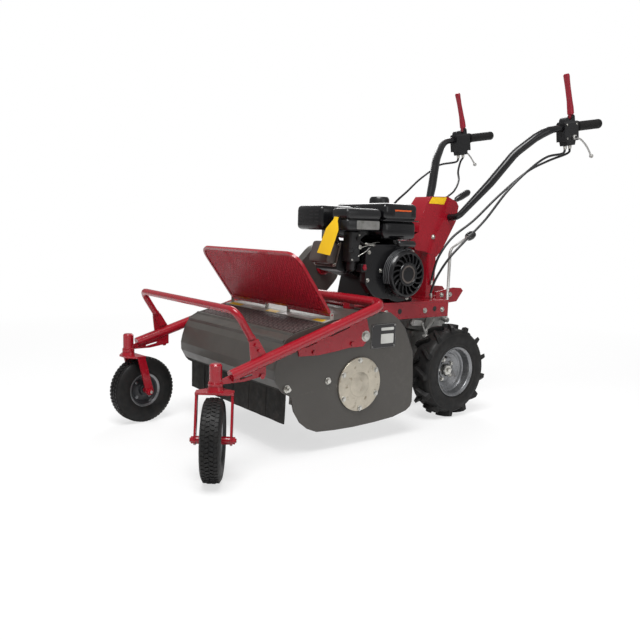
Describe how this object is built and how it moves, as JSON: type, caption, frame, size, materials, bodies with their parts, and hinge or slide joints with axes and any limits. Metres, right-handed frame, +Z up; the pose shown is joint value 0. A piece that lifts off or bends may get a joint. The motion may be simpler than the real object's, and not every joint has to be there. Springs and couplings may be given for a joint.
{
  "type": "walk-behind hammer knife mower",
  "caption": "Walk-behind hammer knife mower: red tube frame, grey deck with swinging hammers, petrol engine on a bed, lugged drive wheels, swivel casters and a tall handlebar.",
  "frame": {"origin": "middle of the footprint, on the ground", "axes": "+Z up, -Y towards the front of the mower, +Y towards its handles, +X to the operator's left"},
  "size_m": [0.8024, 1.8273, 1.2472],
  "materials": {
    "red_paint": "gloss enamel, bright red",
    "grey_paint": "satin dark grey enamel",
    "black_paint": "satin black enamel",
    "black_casting": "painted black, satin",
    "grey_casting": "sand cast, dull",
    "bright_steel": "machined",
    "worn_steel": "hardened steel, dull",
    "zinc": "zinc plated",
    "chrome": "polished",
    "black_plastic": "black, fine grain",
    "tank_paint": "gloss black",
    "red_plastic": "moulded red",
    "yellow_card": "printed card, plain yellow",
    "tyre_rubber": "black rubber",
    "rubber": "black rubber",
    "cable_sheath": "black sheath",
    "cast_cover": "machined face, warm silver",
    "rim_paint": "silver grey enamel"
  },
  "bodies": {
    "root": {"air_cleaner": "black_plastic", "belt_guard": "grey_paint", "cable_left_long": "cable_sheath", "cable_left_short": "cable_sheath", "cable_right_post": "cable_sheath", "cable_right_throttle": "cable_sheath", "carburettor": "grey_casting", "crankcase": "black_casting", "curtain_rod": "zinc", "cylinder": "black_casting", "drive_belt": "rubber", "engine_bed": "red_paint", "front_frame": "red_paint", "fuel_tank": "tank_paint", "gearbox": "grey_casting", "guard_bar": "red_paint", "hang_tag": "yellow_card", "hinge_strip": "zinc", "hood": "grey_paint", "muffler": "black_paint", "post": "red_paint", "recoil_cover": "black_paint", "rotor_bearing_right": "worn_steel", "rotor_cover": "cast_cover", "side_plate_left": "grey_paint", "side_plate_right": "grey_paint", "valve_cover": "black_casting"},
    "rotor": {"rotor": "worn_steel"},
    "hammers_a": {"hammers_a": "worn_steel"},
    "hammers_b": {"hammers_b": "worn_steel"},
    "hammers_c": {"hammers_c": "worn_steel"},
    "crank": {"crankshaft": "worn_steel"},
    "lid": {"lid": "red_paint"},
    "curtain": {"curtain": "rubber"},
    "fork_left": {"caster_fork_left": "red_paint"},
    "fork_right": {"caster_fork_right": "red_paint"},
    "caster_left": {"caster_rim_left": "black_paint", "caster_tyre_left": "tyre_rubber"},
    "caster_right": {"caster_rim_right": "black_paint", "caster_tyre_right": "tyre_rubber"},
    "wheel_left": {"rim_left": "rim_paint", "tyre_left": "tyre_rubber"},
    "wheel_right": {"rim_right": "rim_paint", "tyre_right": "tyre_rubber"},
    "handlebar": {"handlebar": "black_paint", "hand_grip_left": "rubber", "hand_grip_right": "rubber", "lever_housing_left": "black_plastic", "lever_housing_right": "black_plastic"},
    "clutch_left": {"clutch_lever_left": "red_plastic"},
    "clutch_right": {"clutch_lever_right": "red_plastic"},
    "steer_left": {"steering_lever_left": "chrome"},
    "steer_right": {"steering_lever_right": "chrome"},
    "clamp_lever": {"clamp_lever": "black_plastic"},
    "gear_lever": {"gear_lever": "zinc"},
    "fuel_cap": {"fuel_cap": "black_plastic"},
    "starter_grip": {"starter_grip": "black_plastic"},
    "choke_lever": {"choke_lever": "black_plastic"},
    "fuel_valve": {"fuel_valve": "red_plastic"},
    "engine_switch": {"engine_switch": "red_plastic"}
  },
  "joints": [
    {"name": "rotor_spin", "type": "hinge", "parent": "root", "child": "rotor", "pos_m": [-0.0292, -0.3017, 0.193], "axis": [1, 0, 0], "continuous": true},
    {"name": "hammers_a_swing", "type": "hinge", "parent": "rotor", "child": "hammers_a", "pos_m": [-0.0292, -0.3017, 0.131], "axis": [1, 0, 0], "range_deg": [-75, 75]},
    {"name": "hammers_b_swing", "type": "hinge", "parent": "rotor", "child": "hammers_b", "pos_m": [-0.0292, -0.24801, 0.224], "axis": [1, 0, 0], "range_deg": [-15, 75]},
    {"name": "hammers_c_swing", "type": "hinge", "parent": "rotor", "child": "hammers_c", "pos_m": [-0.0292, -0.35539, 0.224], "axis": [1, 0, 0], "range_deg": [-75, 15]},
    {"name": "crank_spin", "type": "hinge", "parent": "root", "child": "crank", "pos_m": [-0.0292, 0.0273, 0.512], "axis": [1, 0, 0], "continuous": true},
    {"name": "lid_hinge", "type": "hinge", "parent": "root", "child": "lid", "pos_m": [-0.0292, -0.4117, 0.4085], "axis": [1, 0, 0], "range_deg": [-50, 60]},
    {"name": "curtain_swing", "type": "hinge", "parent": "root", "child": "curtain", "pos_m": [-0.0292, -0.5717, 0.207], "axis": [1, 0, 0], "range_deg": [-10, 60]},
    {"name": "fork_left_swivel", "type": "hinge", "parent": "root", "child": "fork_left", "pos_m": [0.2588, -0.8037, 0.2255], "axis": [0, 0, 1], "continuous": true},
    {"name": "fork_right_swivel", "type": "hinge", "parent": "root", "child": "fork_right", "pos_m": [-0.3172, -0.8037, 0.2255], "axis": [0, 0, 1], "continuous": true},
    {"name": "caster_left_roll", "type": "hinge", "parent": "fork_left", "child": "caster_left", "pos_m": [0.30058, -0.83295, 0.1105], "axis": [0.5736, 0.8192, 0], "continuous": true},
    {"name": "caster_right_roll", "type": "hinge", "parent": "fork_right", "child": "caster_right", "pos_m": [-0.32342, -0.75308, 0.1105], "axis": [-0.9925, -0.1219, 0], "continuous": true},
    {"name": "wheel_left_roll", "type": "hinge", "parent": "root", "child": "wheel_left", "pos_m": [0.1468, 0.2173, 0.167], "axis": [1, 0, 0], "continuous": true},
    {"name": "wheel_right_roll", "type": "hinge", "parent": "root", "child": "wheel_right", "pos_m": [-0.2052, 0.2173, 0.167], "axis": [1, 0, 0], "continuous": true},
    {"name": "handlebar_tilt", "type": "hinge", "parent": "root", "child": "handlebar", "pos_m": [-0.0292, 0.3353, 0.714], "axis": [1, 0, 0], "range_deg": [-15, 15], "deforming": ["cable_left_long", "cable_left_short", "cable_right_post", "cable_right_throttle"]},
    {"name": "clutch_left_squeeze", "type": "hinge", "parent": "handlebar", "child": "clutch_left", "pos_m": [0.2288, 0.72675, 1.09647], "axis": [1, 0, 0], "range_deg": [-102, 0], "stiffness_Nm_per_rad": 1, "springref_deg": 28.65},
    {"name": "clutch_right_squeeze", "type": "hinge", "parent": "handlebar", "child": "clutch_right", "pos_m": [-0.2872, 0.72675, 1.09647], "axis": [1, 0, 0], "range_deg": [-102, 0], "stiffness_Nm_per_rad": 1, "springref_deg": 28.65},
    {"name": "steer_left_pull", "type": "hinge", "parent": "handlebar", "child": "steer_left", "pos_m": [0.2481, 0.72532, 1.02215], "axis": [1, 0, 0], "range_deg": [0, 25], "stiffness_Nm_per_rad": 0.8, "springref_deg": -34.38},
    {"name": "steer_right_pull", "type": "hinge", "parent": "handlebar", "child": "steer_right", "pos_m": [-0.3065, 0.72532, 1.02215], "axis": [1, 0, 0], "range_deg": [0, 25], "stiffness_Nm_per_rad": 0.8, "springref_deg": -34.38},
    {"name": "clamp_turn", "type": "hinge", "parent": "root", "child": "clamp_lever", "pos_m": [-0.0292, 0.383, 0.76906], "axis": [1, 0, 0], "range_deg": [0, 70]},
    {"name": "gear_shift", "type": "hinge", "parent": "root", "child": "gear_lever", "pos_m": [0.0368, 0.3213, 0.33], "axis": [1, 0, 0], "range_deg": [-24, 0]},
    {"name": "fuel_cap_turn", "type": "hinge", "parent": "root", "child": "fuel_cap", "pos_m": [-0.0502, 0.0333, 0.7503], "axis": [0, 0, 1], "range_deg": [0, 90]},
    {"name": "starter_pull", "type": "slide", "parent": "root", "child": "starter_grip", "axis": [0, 0, 1], "range_m": [0, 0.1], "stiffness_N_per_m": 40, "springref_m": -0.05},
    {"name": "choke_turn", "type": "hinge", "parent": "root", "child": "choke_lever", "pos_m": [0.0691, -0.1627, 0.63], "axis": [1, 0, 0], "range_deg": [-40, 0]},
    {"name": "fuel_valve_turn", "type": "hinge", "parent": "root", "child": "fuel_valve", "pos_m": [0.0691, -0.1827, 0.59], "axis": [1, 0, 0], "range_deg": [0, 90]},
    {"name": "engine_switch_turn", "type": "hinge", "parent": "root", "child": "engine_switch", "pos_m": [0.0831, -0.1437, 0.533], "axis": [1, 0, 0], "range_deg": [-20, 20]}
  ],
  "couplings": [
    {"joint": "crank_spin", "follows": "rotor_spin", "ratio": 1.2469}
  ]
}
